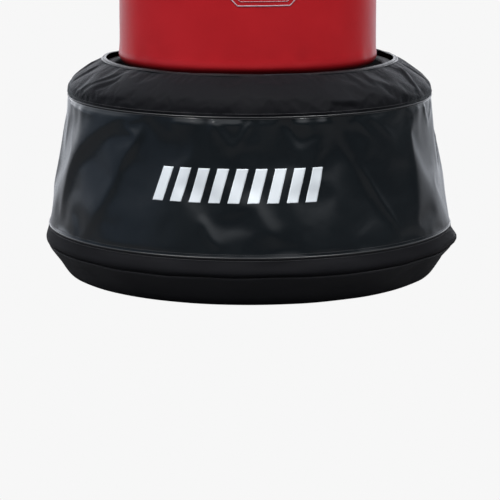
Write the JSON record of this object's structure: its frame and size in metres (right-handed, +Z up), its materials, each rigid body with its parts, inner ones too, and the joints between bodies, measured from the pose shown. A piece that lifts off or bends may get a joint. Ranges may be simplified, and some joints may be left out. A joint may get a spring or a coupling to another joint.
{
  "type": "free-standing punching bag",
  "caption": "Free-standing punching bag: a foam-filled vinyl cylinder that screws onto a low, wide, water-filled base under a black fabric cover with a raised collar.",
  "frame": {"origin": "on the floor, at the middle of the base's underside", "axes": "+Z up along the bag's axis; the front faces -Y; the bag's zip runs up the back, on +Y"},
  "size_m": [0.7352, 0.7352, 1.753],
  "materials": {
    "tank_plastic": "black roto-moulded polyethylene, slightly grained",
    "water": "clear water, seen only with the tank removed",
    "cap_plastic": "black moulded plastic",
    "gasket_rubber": "soft black rubber",
    "cover_nylon": "matte black coated nylon, fine plain weave",
    "cover_vinyl": "black coated vinyl, soft gloss with a fine grain",
    "cover_binding": "black woven binding tape",
    "cover_welt": "black piping",
    "elastic": "woven elastic",
    "floor_cloth": "black coarse woven nylon",
    "core_plastic": "grey-black polyethylene",
    "foam": "pale open-cell foam",
    "bag_vinyl": "red coated vinyl, satin with a fine grain",
    "bag_piping": "red vinyl piping",
    "zip_tape": "black woven zip tape",
    "zip_teeth": "black moulded teeth",
    "zip_metal": "black painted zinc",
    "zip_stop_metal": "pressed aluminium"
  },
  "bodies": {
    "base": {"base_tank": "tank_plastic", "water_ballast": "water", "cover_floor_panel": "floor_cloth", "hem_elastic": "elastic", "cover_lower_panel": "cover_nylon", "cover_band": "cover_nylon", "low_seam_welt": "cover_welt", "cover_skirt": "cover_vinyl", "top_seam_welt": "cover_welt", "cover_yoke": "cover_nylon", "collar_binding": "cover_binding"},
    "seat_ring": {"seat_ring": "gasket_rubber"},
    "socket": {"core_socket": "core_plastic"},
    "bag": {"core_waist": "core_plastic", "core_tube": "core_plastic", "foam_wrap": "foam", "foam_top_pad": "foam", "bag_cover_side": "bag_vinyl", "bag_cover_top": "bag_vinyl", "bag_cover_bottom": "bag_vinyl", "bag_top_welt": "bag_piping", "zip_tape_left": "zip_tape", "zip_tape_right": "zip_tape", "zip_chain": "zip_teeth", "zip_stops": "zip_stop_metal"},
    "zip_slider": {"zip_slider": "zip_metal"},
    "zip_pull": {"zip_pull": "zip_metal"},
    "cap_gasket": {"cap_gasket": "gasket_rubber"},
    "fill_cap": {"fill_cap": "cap_plastic"}
  },
  "joints": [
    {"name": "bag_rise", "type": "slide", "parent": "base", "child": "seat_ring", "axis": [0, 0, 1], "range_m": [0, 0.0562]},
    {"name": "bag_turn", "type": "hinge", "parent": "seat_ring", "child": "socket", "pos_m": [0, 0, 0.41], "axis": [0, 0, 1], "range_deg": [0, 1440]},
    {"name": "bag_sway", "type": "hinge", "parent": "socket", "child": "bag", "pos_m": [0, 0, 0.49], "axis": [1, 0, 0], "range_deg": [-4, 4], "stiffness_Nm_per_rad": 3000, "deforming": ["core_waist"]},
    {"name": "zip_travel", "type": "slide", "parent": "bag", "child": "zip_slider", "axis": [0, 0, 1], "range_m": [0, 1.25]},
    {"name": "zip_pull_swing", "type": "hinge", "parent": "zip_slider", "child": "zip_pull", "pos_m": [0, 0.23552, 0.418], "axis": [1, 0, 0], "range_deg": [0, 170]},
    {"name": "cap_rise", "type": "slide", "parent": "base", "child": "cap_gasket", "axis": [0, 0, 1], "range_m": [0, 0.0101]},
    {"name": "cap_turn", "type": "hinge", "parent": "cap_gasket", "child": "fill_cap", "pos_m": [0, 0, 0.47], "axis": [0, 0, 1], "range_deg": [0, 720]}
  ],
  "couplings": [
    {"joint": "bag_rise", "follows": "bag_turn", "m_per_rad": 0.0022282},
    {"joint": "cap_rise", "follows": "cap_turn", "m_per_rad": 0.00079577}
  ]
}
